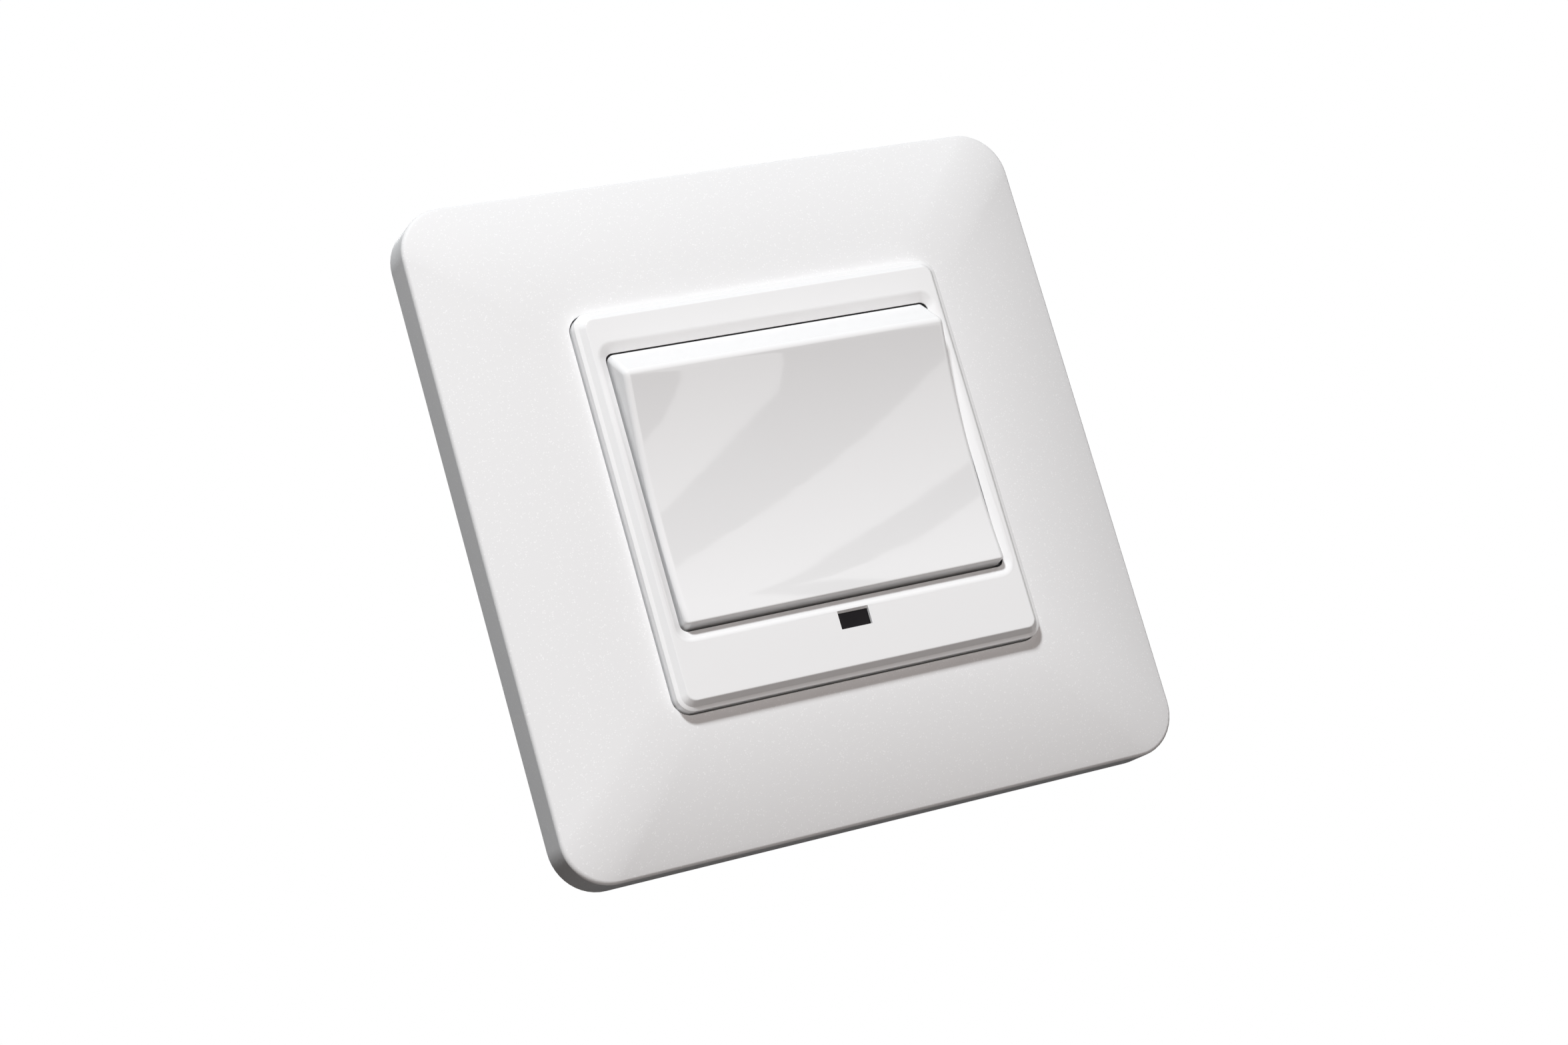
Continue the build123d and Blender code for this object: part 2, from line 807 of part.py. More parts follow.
with BuildPart() as rectifier:
    lead_width, lead_span, lead_rise = rectifier_lead
    with BuildSketch(front(power_board_height + rectifier_gap)):
        with Locations(rectifier_place):
            Rectangle(rectifier_body[0], rectifier_body[1])
    extrude(amount=rectifier_body[2])
    with BuildSketch(front(power_board_height)):
        with Locations(rectifier_place):
            with GridLocations(rectifier_lead_pitch, 0, 2, 1):
                Rectangle(lead_width, lead_span)
    extrude(amount=lead_rise)

with BuildPart() as board_connector:
    with BuildSketch(front(power_board_height)):
        with Locations(connector_place):
            Rectangle(*connector_body)
            with GridLocations(connector_pitch, connector_body[1] + 0.2, 4, 2):
                Rectangle(*connector_notch, mode=Mode.SUBTRACT)
    extrude(amount=control_board_height - board_thickness - power_board_height)

# Terminals: a block with three cage clamps, wires from behind and screws from below
clamp_centre = (clamp_low + clamp_high) / 2
with BuildPart() as terminal_block:
    with BuildSketch(front(-housing_floor)):
        with Locations((0, (block_low + block_high) / 2)):
            Rectangle(block_width, block_high - block_low)
    extrude(amount=housing_floor + power_back)
    with BuildSketch(front(-housing_floor)):
        with Locations([(x, clamp_centre) for x in terminal_xs]):
            Rectangle(clamp_width, clamp_high - clamp_low)
    extrude(amount=clamp_front + housing_floor, mode=Mode.SUBTRACT)
    with BuildSketch(Plane.XY.offset(block_low)):
        with Locations([(x, terminal_screw_depth) for x in terminal_xs]):
            Rectangle(screw_access, screw_access)
    extrude(amount=clamp_low - block_low, mode=Mode.SUBTRACT)

with BuildPart() as terminal_clamps:
    with BuildSketch(front(clamp_back)):
        with Locations([(x, clamp_centre) for x in terminal_xs]):
            Rectangle(clamp_width, clamp_high - clamp_low)
        with Locations([(x, terminal_z) for x in terminal_xs]):
            Rectangle(cage_width, cage_width, mode=Mode.SUBTRACT)
    extrude(amount=clamp_front - clamp_back)
    with BuildSketch(Plane.XY.offset(clamp_low)):
        with Locations([(x, terminal_screw_depth) for x in terminal_xs]):
            Circle(terminal_thread_radius)
    extrude(amount=terminal_z - clamp_low, mode=Mode.SUBTRACT)

with BuildPart() as terminal_screws:
    screw_low = block_low + 0.1
    with BuildSketch(Plane.XY.offset(screw_low)):
        with Locations([(x, terminal_screw_depth) for x in terminal_xs]):
            Circle(terminal_head_radius)
    extrude(amount=terminal_head_length)
    with BuildSketch(Plane.XY.offset(screw_low + terminal_head_length)):
        with Locations([(x, terminal_screw_depth) for x in terminal_xs]):
            Circle(terminal_shank_radius)
    extrude(amount=terminal_head_length)
    with BuildSketch(Plane.XY.offset(screw_low)):
        with Locations([(x, terminal_screw_depth) for x in terminal_xs]):
            Rectangle(2 * terminal_head_radius, terminal_slot)
    extrude(amount=terminal_head_length / 2, mode=Mode.SUBTRACT)

pieces = {
    "cover_frame": cover_frame,
    "centre_plate": centre_plate,
    "receiver_lens": receiver_lens,
    "rocker": rocker,
    "rocker_cradle": rocker_cradle,
    "pivot_pin": pivot_pin,
    "mechanism_base": mechanism_base,
    "return_spring": return_spring,
    "support_yoke": support_yoke,
    "rear_housing": rear_housing,
    "housing_screws": housing_screws,
    "control_board": control_board,
    "power_board": power_board,
    "push_switch": push_switch,
    "switch_plunger": switch_plunger,
    "infrared_receiver": infrared_receiver,
    "control_chip": control_chip,
    "relay": relay,
    "transformer": transformer,
    "film_capacitor": film_capacitor,
    "storage_capacitor": storage_capacitor,
    "fuse": fuse,
    "surge_absorber": surge_absorber,
    "rectifier": rectifier,
    "board_connector": board_connector,
    "terminal_block": terminal_block,
    "terminal_clamps": terminal_clamps,
    "terminal_screws": terminal_screws,
}

os.makedirs("parts", exist_ok=True)
for label, piece in pieces.items():
    piece.part.label = label
    export_step(piece.part, f"parts/{label}.step")
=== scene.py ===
import json
import math
from typing import NamedTuple

import bmesh
import bpy
from mathutils import Matrix, Vector


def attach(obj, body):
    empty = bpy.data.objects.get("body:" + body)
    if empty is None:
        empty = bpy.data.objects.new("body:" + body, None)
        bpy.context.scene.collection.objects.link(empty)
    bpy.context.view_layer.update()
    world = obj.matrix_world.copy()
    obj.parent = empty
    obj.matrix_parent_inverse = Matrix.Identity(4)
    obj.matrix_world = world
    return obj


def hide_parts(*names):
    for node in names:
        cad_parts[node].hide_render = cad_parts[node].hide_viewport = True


bl_info = {
    "name": "Smart Light Switch",
    "version": (1, 0, 0),
    "blender": (4, 5, 0),
    "location": "3D View > Sidebar > Light Switch",
    "description": "Cover frame, centre plate, rocker and relay module of a wall light switch",
    "category": "Object",
}

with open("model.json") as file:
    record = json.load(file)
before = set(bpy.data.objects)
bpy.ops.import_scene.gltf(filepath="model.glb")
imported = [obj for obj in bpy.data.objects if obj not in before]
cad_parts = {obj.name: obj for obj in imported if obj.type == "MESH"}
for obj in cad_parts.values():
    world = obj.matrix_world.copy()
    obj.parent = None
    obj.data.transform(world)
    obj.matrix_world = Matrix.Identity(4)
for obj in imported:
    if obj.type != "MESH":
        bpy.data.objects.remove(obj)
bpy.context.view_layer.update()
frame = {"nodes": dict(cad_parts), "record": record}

MM = 0.001
WHITE = (1.0, 1.0, 1.0, 1.0)
CORNER_STEPS = 12
RING_COUNT = 4 * (CORNER_STEPS + 1)
SMOOTH_ANGLE = math.radians(35.0)


class Socket:
    """A shader socket that Python's arithmetic turns into Math nodes."""

    def __init__(self, finish, socket):
        self.finish = finish
        self.socket = socket

    def _math(self, operation, *inputs):
        places = {f"in{place}": value for place, value in enumerate(inputs)}
        return self.finish.node("ShaderNodeMath", {"operation": operation}, **places)

    def __add__(self, other):
        return self._math("ADD", self, other)

    def __radd__(self, other):
        return self._math("ADD", other, self)

    def __sub__(self, other):
        return self._math("SUBTRACT", self, other)

    def __rsub__(self, other):
        return self._math("SUBTRACT", other, self)

    def __mul__(self, other):
        return self._math("MULTIPLY", self, other)

    def __rmul__(self, other):
        return self._math("MULTIPLY", other, self)

    def above(self, limit):
        """One where the value is greater than the limit, and nought elsewhere."""
        return self._math("GREATER_THAN", self, limit)


class Finish:
    """One procedural material with a Principled shader, built node by node."""

    def __init__(self, name, color, roughness, metallic=0.0, specular=0.5):
        self.material = bpy.data.materials.new(name)
        self.material.use_nodes = True
        self.tree = self.material.node_tree
        self.shader = self.tree.nodes["Principled BSDF"]
        self.shader.inputs["Base Color"].default_value = (*color, 1.0)
        self.shader.inputs["Roughness"].default_value = roughness
        self.shader.inputs["Metallic"].default_value = metallic
        self.shader.inputs["Specular IOR Level"].default_value = specular

    def node(self, kind, settings=None, output=0, **inputs):
        """Adds a node, sets it, then feeds its sockets by name or, as in0, in1, by place."""
        node = self.tree.nodes.new(kind)
        for key, value in (settings or {}).items():
            setattr(node, key, value)
        for key, value in inputs.items():
            is_place = key.startswith("in") and key[2:].isdigit()
            socket = node.inputs[int(key[2:]) if is_place else key.replace("_", " ")]
            if isinstance(value, Socket):
                self.tree.links.new(value.socket, socket)
            else:
                socket.default_value = value
        return Socket(self, node.outputs[output])

    def place(self):
        """Object coordinates."""
        return self.node("ShaderNodeTexCoord", output=3)

    def noise(self, scale, detail, roughness=0.5):
        return self.node(
            "ShaderNodeTexNoise",
            Vector=self.place(), Scale=scale, Detail=detail, Roughness=roughness,
        )

    def mix(self, factor, first, second):
        """One colour where the factor is nought, another where it is one."""
        return self.node(
            "ShaderNodeMix", {"data_type": "RGBA"}, output=2,
            in0=factor, in6=(*first, 1.0), in7=(*second, 1.0),
        )

    def feed(self, socket, value):
        """Links a value to the material's shader."""
        self.tree.links.new(value.socket, self.shader.inputs[socket])

    def bump(self, height, strength, distance):
        """Relief by the normal alone, its distance in metres."""
        self.feed("Normal", self.node(
            "ShaderNodeBump", Height=height, Strength=strength, Distance=distance
        ))


def shaded(color, share):
    """The colour made lighter by a share above 1, or darker by one below."""
    return tuple(min(1.0, part * share) for part in color)


def pearl_lacquer(name, color):
    """Matte white lacquer with fine pearl flakes, their colour lightened as painted glints, and a
    faint orange peel.
    """
    finish = Finish(name, color, 0.5, specular=0.1)
    flakes = finish.node(
        "ShaderNodeTexVoronoi", {"feature": "F1"}, output=1, Vector=finish.place(), Scale=7500.0
    )
    flakes_and_painted_glint = finish.node("ShaderNodeSeparateColor", Color=flakes).above(0.95)
    # Flakes get a lighter colour as painted glints; their lower roughness and bump are real.
    finish.feed("Base Color", finish.mix(flakes_and_painted_glint * 0.5, color, shaded(color, 1.2)))
    finish.feed("Roughness", 0.5 - flakes_and_painted_glint * 0.2)
    finish.bump(finish.noise(2600.0, 3.0) + flakes_and_painted_glint * 0.4, strength=0.1, distance=0.04 * MM)
    return finish.material


def gloss_plastic(name, color):
    """Polished white plastic with a very slight waviness and faint handling haze."""
    finish = Finish(name, color, 0.03, specular=1.0)
    haze = finish.noise(140.0, 3.0)
    finish.feed("Base Color", finish.mix(haze, shaded(color, 0.99), color))
    finish.feed("Roughness", 0.02 + haze * 0.03)
    finish.bump(finish.noise(260.0, 1.0), strength=0.05, distance=0.04 * MM)
    return finish.material


def smoked_plastic(name, color):
    """Nearly black infrared-clear plastic, glossy, with soft lighter patches of painted reflection
    inside.
    """
    finish = Finish(name, color, 0.12, specular=0.12)
    painted_reflection_patches = finish.noise(420.0, 1.0)
    # The lighter patches in the colour are painted reflections inside the lens; the same patches vary
    # the roughness.
    finish.feed("Base Color", finish.mix(painted_reflection_patches, color, shaded(color, 2.0)))
    finish.feed("Roughness", 0.08 + painted_reflection_patches * 0.08)
    return finish.material


def moulded_plastic(name, color, roughness, grain_scale=900.0):
    """Plain moulded plastic with a spark-eroded grain."""
    finish = Finish(name, color, roughness)
    grain = finish.noise(grain_scale, 4.0, 0.6)
    clouds = finish.noise(90.0, 2.0)
    finish.feed("Base Color", finish.mix(clouds, shaded(color, 0.93), shaded(color, 1.05)))
    finish.feed("Roughness", (roughness - 0.06) + grain * 0.12)
    finish.bump(grain, strength=0.25, distance=0.06 * MM)
    return finish.material


def plated_metal(name, color, roughness):
    """Plated or rolled metal with fine streaks and patchy dullness."""
    finish = Finish(name, color, roughness, metallic=1.0)
    stretched = finish.node(
        "ShaderNodeMapping", Vector=finish.place(), Scale=(40.0, 900.0, 900.0)
    )
    streaks = finish.node("ShaderNodeTexNoise", Vector=stretched, Scale=1.0, Detail=3.0)
    patches = finish.noise(120.0, 3.0)
    dullness = patches + streaks * 0.5 - 0.25
    finish.feed("Base Color", finish.mix(dullness, shaded(color, 0.7), shaded(color, 1.1)))
    finish.feed("Roughness", (roughness - 0.08) + streaks * 0.12 + patches * 0.08)
    finish.bump(streaks, strength=0.15, distance=0.03 * MM)
    return finish.material


def board_lacquer(name, color):
    """Green solder lacquer over copper tracks that show as slightly lighter lanes."""
    finish = Finish(name, color, 0.35)
    lanes = finish.node(
        "ShaderNodeTexBrick", {"offset": 0.3}, Vector=finish.place(), Scale=420.0,
        Color1=WHITE, Color2=(0.6, 0.6, 0.6, 1.0), Mortar=(0.0, 0.0, 0.0, 1.0), Mortar_Size=0.03,
    )
    lane = finish.node("ShaderNodeSeparateColor", Color=lanes)
    finish.feed("Base Color", finish.mix(lane, shaded(color, 0.7), shaded(color, 1.25)))
    finish.feed("Roughness", 0.3 + lane * 0.1)
    finish.bump(lane, strength=0.2, distance=0.03 * MM)
    return finish.material


# By record slot: the function that makes the finish, its roughness and its grain's scale
FINISHES = {
    "pearl_white": (pearl_lacquer,),
    "gloss_white": (gloss_plastic,),
    "smoked_lens": (smoked_plastic,),
    "grey_plastic": (moulded_plastic, 0.5),
    "housing_grey": (moulded_plastic, 0.55),
    "zinc_steel": (plated_metal, 0.32),
    "spring_steel": (plated_metal, 0.25),
    "brass": (plated_metal, 0.3),
    "circuit_board": (board_lacquer,),
    "black_plastic": (moulded_plastic, 0.45),
    "relay_case": (moulded_plastic, 0.35),
    "film_case": (moulded_plastic, 0.25, 400.0),
    "can_sleeve": (moulded_plastic, 0.25, 300.0),
    "ceramic_blue": (moulded_plastic, 0.3, 500.0),
    "winding_tape": (moulded_plastic, 0.3, 600.0),
}

finishes = {}


def finish_for(slot_name):
    """The material of a record slot, made once, in the user's colour or else the record's."""
    if slot_name not in finishes:
        colors = {m["slot"]: m["base_color"] for m in frame["record"]["materials"]}
        color = getattr(bpy.context.scene.switch_colors, slot_name, colors[slot_name])
        make, *values = FINISHES[slot_name]
        finishes[slot_name] = make(slot_name, tuple(color)[:3], *values)
    return finishes[slot_name]


class SWITCH_PG_colors(bpy.types.PropertyGroup):
    """Colours of the parts that show on the wall."""

    pearl_white: bpy.props.FloatVectorProperty(
        name="Pearl White", description="Colour of the cover frame",
        default=(0.80, 0.805, 0.81), subtype="COLOR",
    )
    gloss_white: bpy.props.FloatVectorProperty(
        name="Gloss White", description="Colour of the centre plate and the rocker",
        default=(0.84, 0.845, 0.85), subtype="COLOR",
    )
    smoked_lens: bpy.props.FloatVectorProperty(
        name="Smoked Lens", description="Colour of the receiver's lens",
        default=(0.006, 0.005, 0.006), subtype="COLOR",
    )


class SWITCH_PG_stage(bpy.types.PropertyGroup):
    """Camera, lamps and floor."""

    camera_place: bpy.props.FloatVectorProperty(
        name="Camera Place", description="Where the camera stands",
        default=(-0.1750, -0.3557, -0.0735), subtype="TRANSLATION",
    )
    camera_aim: bpy.props.FloatVectorProperty(
        name="Camera Aim", description="Point on the camera's axis",
        default=(-0.00061, -0.0000, -0.00304), subtype="TRANSLATION",
    )
    camera_roll: bpy.props.FloatProperty(
        name="Camera Roll", description="Turn of the camera about its own axis",
        default=math.radians(-16.0), subtype="ANGLE",
    )
    lens: bpy.props.FloatProperty(
        name="Lens", description="Focal length in millimetres on a 36 mm wide sensor",
        default=72.87, unit="CAMERA",
    )
    key_direction: bpy.props.FloatVectorProperty(
        name="Key Light Direction", description="From the switch to the key light",
        default=(-0.44, -1.0, 1.09), subtype="DIRECTION",
    )
    key_power: bpy.props.FloatProperty(
        name="Key Light Power", description="Power of the key light", default=14.0, unit="POWER",
    )
    key_color: bpy.props.FloatVectorProperty(
        name="Key Light Colour", description="Colour of the key light",
        default=(0.965, 0.985, 1.0), subtype="COLOR",
    )
    fill_direction: bpy.props.FloatVectorProperty(
        name="Fill Light Direction", description="From the switch to the fill light",
        default=(-0.18, -0.95, -0.16), subtype="DIRECTION",
    )
    fill_power: bpy.props.FloatProperty(
        name="Fill Light Power", description="Power of the fill light beside the camera",
        default=2.0, unit="POWER",
    )
    fill_color: bpy.props.FloatVectorProperty(
        name="Fill Light Colour", description="Colour of the fill light and of the room",
        default=(1.0, 0.90, 0.86), subtype="COLOR",
    )
    back_direction: bpy.props.FloatVectorProperty(
        name="Back Light Direction", description="From the switch to the light behind the wall plate",
        default=(0.35, 1.0, 0.45), subtype="DIRECTION",
    )
    back_power: bpy.props.FloatProperty(
        name="Back Light Power", description="Power of the light behind the wall plate",
        default=4.5, unit="POWER",
    )
    room_strength: bpy.props.FloatProperty(
        name="Room Strength", description="Light from all around", default=0.03,
    )
    floor_drop: bpy.props.FloatProperty(
        name="Floor Drop", description="How far the floor lies under the wall plate's centre",
        default=0.35, unit="LENGTH",
    )


class SWITCH_OT_stage(bpy.types.Operator):
    """Camera at the photograph's angle, key, fill and back lights, mirrored cards and a floor"""

    bl_idname = "switch.stage"
    bl_label = "Stage"

    # Distance and size of each lamp, and the floor, in metres
    key_lamp = (1.2, 0.16)
    fill_lamp = (0.8, 0.3)
    back_lamp = (1.2, 0.4)
    floor_radius = 0.6
    floor_fade = (0.33, 0.59)
    floor_grey = 0.85
    floor_bounce = 0.1
    floor_glow = 0.42

    # Cards and the flag in millimetres: each card's strength and its corners, x and z
    card_distance = 80.0
    flag_drop = 250.0
    flag = ((-1000.0, 100.0), (4000.0, 100.0), (4000.0, 5000.0), (-1000.0, 5000.0))
    cards = (
        (0.15, (
            (34.5, -4.0), (63.5, -4.0), (63.5, -0.5), (44.1, 4.0), (27.6, 7.1), (12.9, 9.5),
            (7.3, 10.5), (7.3, 6.8), (16.1, 4.4), (26.8, 1.6), (31.1, 0.5), (33.9, -2.1),
        )),
        (0.15, ((7.3, -4.0), (18.5, -4.0), (17.7, -2.0), (11.5, 1.1), (7.3, 2.3))),
        (0.1, (
            (63.5, 6.4), (46.4, 9.5), (35.9, 11.2), (20.6, 14.2), (20.8, 14.7), (35.1, 13.7),
            (43.2, 12.3), (49.8, 11.6), (63.5, 9.0),
        )),
    )

    def execute(self, context):
        values = context.scene.switch_stage
        self.camera(context, values)
        self.lamp(values.key_direction, *self.key_lamp, values.key_power, values.key_color)
        fill = self.lamp(
            values.fill_direction, *self.fill_lamp, values.fill_power, values.fill_color
        )
        fill.visible_glossy = False
        self.lamp(values.back_direction, *self.back_lamp, values.back_power, values.key_color)
        self.world(context, values)
        self.floor(values)
        for place, (strength, corners) in enumerate(self.cards):
            corners = [(x, -self.card_distance, z) for x, z in corners]
            self.card(f"card_{place}", strength, corners)
        self.card("flag", 0.0, [(x, y, -self.flag_drop) for x, y in self.flag])
        context.scene.view_settings.view_transform = "Standard"
        return {"FINISHED"}

    def camera(self, context, values):
        place = Vector(values.camera_place)
        view = Vector(values.camera_aim) - place
        level = view.to_track_quat("-Z", "Y").to_matrix().to_4x4()
        bpy.ops.object.camera_add()
        camera = bpy.context.object
        roll = Matrix.Rotation(values.camera_roll, 4, "Z")
        camera.matrix_world = Matrix.Translation(place) @ level @ roll
        camera.data.sensor_width = 36.0
        camera.data.lens = values.lens
        camera.data.clip_start = 0.01
        context.scene.camera = camera

    def lamp(self, direction, distance, size, power, color):
        """A square area light that looks at the switch from some direction."""
        direction = Vector(direction).normalized()
        bpy.ops.object.light_add(type="AREA", location=direction * distance)
        lamp = bpy.context.object
        lamp.rotation_euler = (-direction).to_track_quat("-Z", "Y").to_euler()
        lamp.data.shape = "SQUARE"
        lamp.data.size = size
        lamp.data.energy = power
        lamp.data.color = color
        return lamp

    def world(self, context, values):
        """A faint warm room that shows plain white to the camera, to metal and through glass."""
        world = bpy.data.worlds.new("studio")
        context.scene.world = world
        world.use_nodes = True
        tree = world.node_tree
        background = tree.nodes["Background"]
        path = tree.nodes.new("ShaderNodeLightPath")
        seen = path.outputs["Is Camera Ray"]
        for ray in ("Is Glossy Ray", "Is Transmission Ray"):
            either = tree.nodes.new("ShaderNodeMath")
            either.operation = "MAXIMUM"
            tree.links.new(seen, either.inputs[0])
            tree.links.new(path.outputs[ray], either.inputs[1])
            seen = either.outputs[0]
        strength = tree.nodes.new("ShaderNodeMapRange")
        strength.inputs["To Min"].default_value = values.room_strength
        strength.inputs["To Max"].default_value = 1.0
        tree.links.new(seen, strength.inputs["Value"])
        tree.links.new(strength.outputs[0], background.inputs["Strength"])
        color = tree.nodes.new("ShaderNodeMix")
        color.data_type = "RGBA"
        tree.links.new(seen, color.inputs[0])
        color.inputs[6].default_value = (*values.fill_color, 1.0)
        color.inputs[7].default_value = WHITE
        tree.links.new(color.outputs[2], background.inputs["Color"])

    def floor(self, values):
        """A round pale floor that fades out at its rim and shows white to the camera."""
        bpy.ops.mesh.primitive_circle_add(
            vertices=96, radius=self.floor_radius, fill_type="NGON",
            location=(0, 0, -values.floor_drop),
        )
        floor = bpy.context.object
        floor.name = "floor"
        pale, dark = (self.floor_grey,) * 3, (self.floor_bounce,) * 3
        finish = Finish("floor", pale, 0.6)
        distance = finish.node(
            "ShaderNodeVectorMath", {"operation": "LENGTH"}, output=1, Vector=finish.place()
        )
        fade_start, fade_end = self.floor_fade
        rim = finish.node(
            "ShaderNodeMapRange", Value=distance, From_Min=fade_start, From_Max=fade_end
        )
        seen = finish.node("ShaderNodeLightPath")
        finish.feed("Base Color", finish.mix(seen, dark, pale))
        finish.shader.inputs["Emission Color"].default_value = WHITE
        finish.feed("Emission Strength", seen * self.floor_glow)
        clear = finish.tree.nodes.new("ShaderNodeBsdfTransparent")
        blend = finish.tree.nodes.new("ShaderNodeMixShader")
        output = finish.tree.nodes["Material Output"]
        finish.tree.links.new(rim.socket, blend.inputs[0])
        finish.tree.links.new(finish.shader.outputs[0], blend.inputs[1])
        finish.tree.links.new(clear.outputs[0], blend.inputs[2])
        finish.tree.links.new(blend.outputs[0], output.inputs["Surface"])
        floor.data.materials.append(finish.material)

    def card(self, name, strength, corners):
        """A flat card that only the switch's gloss mirrors, given by its corners."""
        bpy.ops.mesh.primitive_circle_add(vertices=len(corners), radius=1, fill_type="NGON")
        card = bpy.context.object
        card.name = name
        bpy.ops.object.mode_set(mode="EDIT")
        for place, corner in enumerate(corners):
            choose(card, "VERT", lambda vert: vert.index == place)
            bpy.ops.transform.translate(value=Vector(corner) * MM - card_corner(card, place))
        bpy.ops.object.mode_set(mode="OBJECT")
        finish = Finish(name, (0.0, 0.0, 0.0), 1.0, specular=0.0)
        finish.shader.inputs["Emission Color"].default_value = WHITE
        finish.shader.inputs["Emission Strength"].default_value = strength
        card.data.materials.append(finish.material)
        for ray in ("camera", "diffuse", "transmission", "volume_scatter", "shadow"):
            setattr(card, f"visible_{ray}", False)


def card_corner(card, place):
    """Where a vertex of an edited mesh is now."""
    mesh = piece_mesh(card)
    mesh.verts.ensure_lookup_table()
    return mesh.verts[place].co.copy()


def new_piece(name):
    """An empty mesh object at the origin, open in edit mode."""
    bpy.ops.object.select_all(action="DESELECT")
    bpy.ops.mesh.primitive_plane_add(size=1)
    piece = bpy.context.object
    piece.name = piece.data.name = name
    bpy.ops.object.mode_set(mode="EDIT")
    bpy.ops.mesh.delete(type="VERT")
    return piece


def piece_mesh(piece):
    """The edited mesh, with its vertices numbered."""
    mesh = bmesh.from_edit_mesh(piece.data)
    mesh.verts.index_update()
    return mesh


def choose(piece, kind, test):
    """Selects the vertices, edges or faces of the edited mesh that pass a test."""
    bpy.ops.mesh.select_mode(type=kind)
    bpy.ops.mesh.select_all(action="DESELECT")
    mesh = piece_mesh(piece)
    for element in {"VERT": mesh.verts, "EDGE": mesh.edges, "FACE": mesh.faces}[kind]:
        if test(element):
            element.select_set(True)
    mesh.select_flush_mode()
    bmesh.update_edit_mesh(piece.data)


def near(first, second):
    """Whether two lengths in metres agree within a hundredth of a millimetre."""
    return abs(first - second) < 0.01 * MM


class Ring(NamedTuple):
    """A rounded rectangle parallel to the wall at a height above it, in millimetres.

    Soft is the rounding of the ring's edge, kept as a bevel weight."""

    width: float
    length: float
    centre: float
    corner: float
    height: float
    soft: float = 0.0


def add_ring(ring):
    """The edges of one ring in the edited mesh."""
    place = (0, -ring.height * MM, ring.centre * MM)
    bpy.ops.mesh.primitive_plane_add(size=1, location=place, rotation=(math.pi / 2, 0, 0))
    bpy.ops.transform.resize(
        value=(ring.width * MM, 1, ring.length * MM), center_override=place
    )
    bpy.ops.mesh.bevel(affect="VERTICES", offset=ring.corner * MM, segments=CORNER_STEPS)
    bpy.ops.mesh.delete(type="ONLY_FACE")
    bpy.ops.object.mode_set(mode="OBJECT")
    bpy.ops.object.mode_set(mode="EDIT")


def corner_places(ring):
    """The four sharp corners that a ring's arcs round off, each with its signs."""
    for across in (-1, 1):
        for up in (-1, 1):
            z = ring.centre + up * ring.length / 2
            yield across, up, Vector((across * ring.width / 2, -ring.height, z)) * MM


def grow_ring(piece, before, after):
    """Extrudes the newest ring and moves its four corners to the next ring's places."""
    count = len(piece_mesh(piece).verts)
    newest = count - RING_COUNT
    choose(piece, "EDGE", lambda edge: all(vert.index >= newest for vert in edge.verts))
    bpy.ops.mesh.extrude_edges_move()
    centre = before.centre * MM
    growth = after.corner / before.corner
    for (across, up, old), (_, _, new) in zip(corner_places(before), corner_places(after)):
        choose(
            piece, "VERT",
            lambda vert: vert.index >= count
            and vert.co.x * across > 0 and (vert.co.z - centre) * up > 0,
        )
        bpy.ops.transform.translate(value=new - old)
        bpy.ops.transform.resize(value=(growth, growth, growth), center_override=new)


def stack_rings(piece, rings, closed=True):
    """Grows rings into one skin.

    A closed stack ends on its first ring again; any other is capped at both ends."""
    add_ring(rings[0])
    steps = [*rings, rings[0]] if closed else rings
    for before, after in zip(steps, steps[1:]):
        grow_ring(piece, before, after)
    if not closed:
        for end in (0, len(rings) - 1):
            choose(piece, "VERT", lambda vert: vert.index // RING_COUNT == end)
            bpy.ops.mesh.edge_face_add()
    for place, ring in enumerate(steps):
        if ring.soft:
            choose(
                piece, "EDGE",
                lambda edge: all(vert.index // RING_COUNT == place for vert in edge.verts),
            )
            bpy.ops.transform.edge_bevelweight(value=ring.soft)
    bpy.ops.mesh.select_all(action="SELECT")
    bpy.ops.mesh.remove_doubles(threshold=0.001 * MM)
    face_outwards()


def square(size, corner, height, soft=0.0):
    """A square ring about the switch's axis."""
    return Ring(size, size, 0.0, corner, height, soft)


def face_outwards():
    """Turns every face of the edited mesh outwards."""
    bpy.ops.mesh.select_all(action="SELECT")
    bpy.ops.mesh.normals_make_consistent(inside=False)


def add_block(low, high):
    """A box between two corners, given as x, height and z, in the edited mesh."""
    centre = [(a + b) / 2 * MM for a, b in zip(low, high)]
    place = (centre[0], -centre[1], centre[2])
    bpy.ops.mesh.primitive_cube_add(size=1, location=place)
    bpy.ops.transform.resize(
        value=[(b - a) * MM for a, b in zip(low, high)], center_override=place
    )


def select_only(piece):
    """Leaves edit mode and selects one object alone."""
    if bpy.context.mode != "OBJECT":
        bpy.ops.object.mode_set(mode="OBJECT")
    bpy.ops.object.select_all(action="DESELECT")
    piece.select_set(True)
    bpy.context.view_layer.objects.active = piece


def apply_modifier(piece, kind, **settings):
    """Adds a modifier to a piece, sets it and applies it."""
    select_only(piece)
    bpy.ops.object.modifier_add(type=kind)
    modifier = piece.modifiers[-1]
    for key, value in settings.items():
        setattr(modifier, key, value)
    bpy.ops.object.modifier_apply(modifier=modifier.name)


def soften(piece, segments=4):
    """Rounds every edge by its bevel weight, which counts millimetres."""
    apply_modifier(
        piece, "BEVEL",
        width=MM, limit_method="WEIGHT", segments=segments, use_clamp_overlap=False,
    )


def combine(piece, tool, operation):
    """Joins a tool object to a piece, or cuts it out, and removes the tool."""
    apply_modifier(
        piece, "BOOLEAN", object=tool, operation=operation, solver="EXACT", use_self=True
    )
    bpy.data.objects.remove(tool)


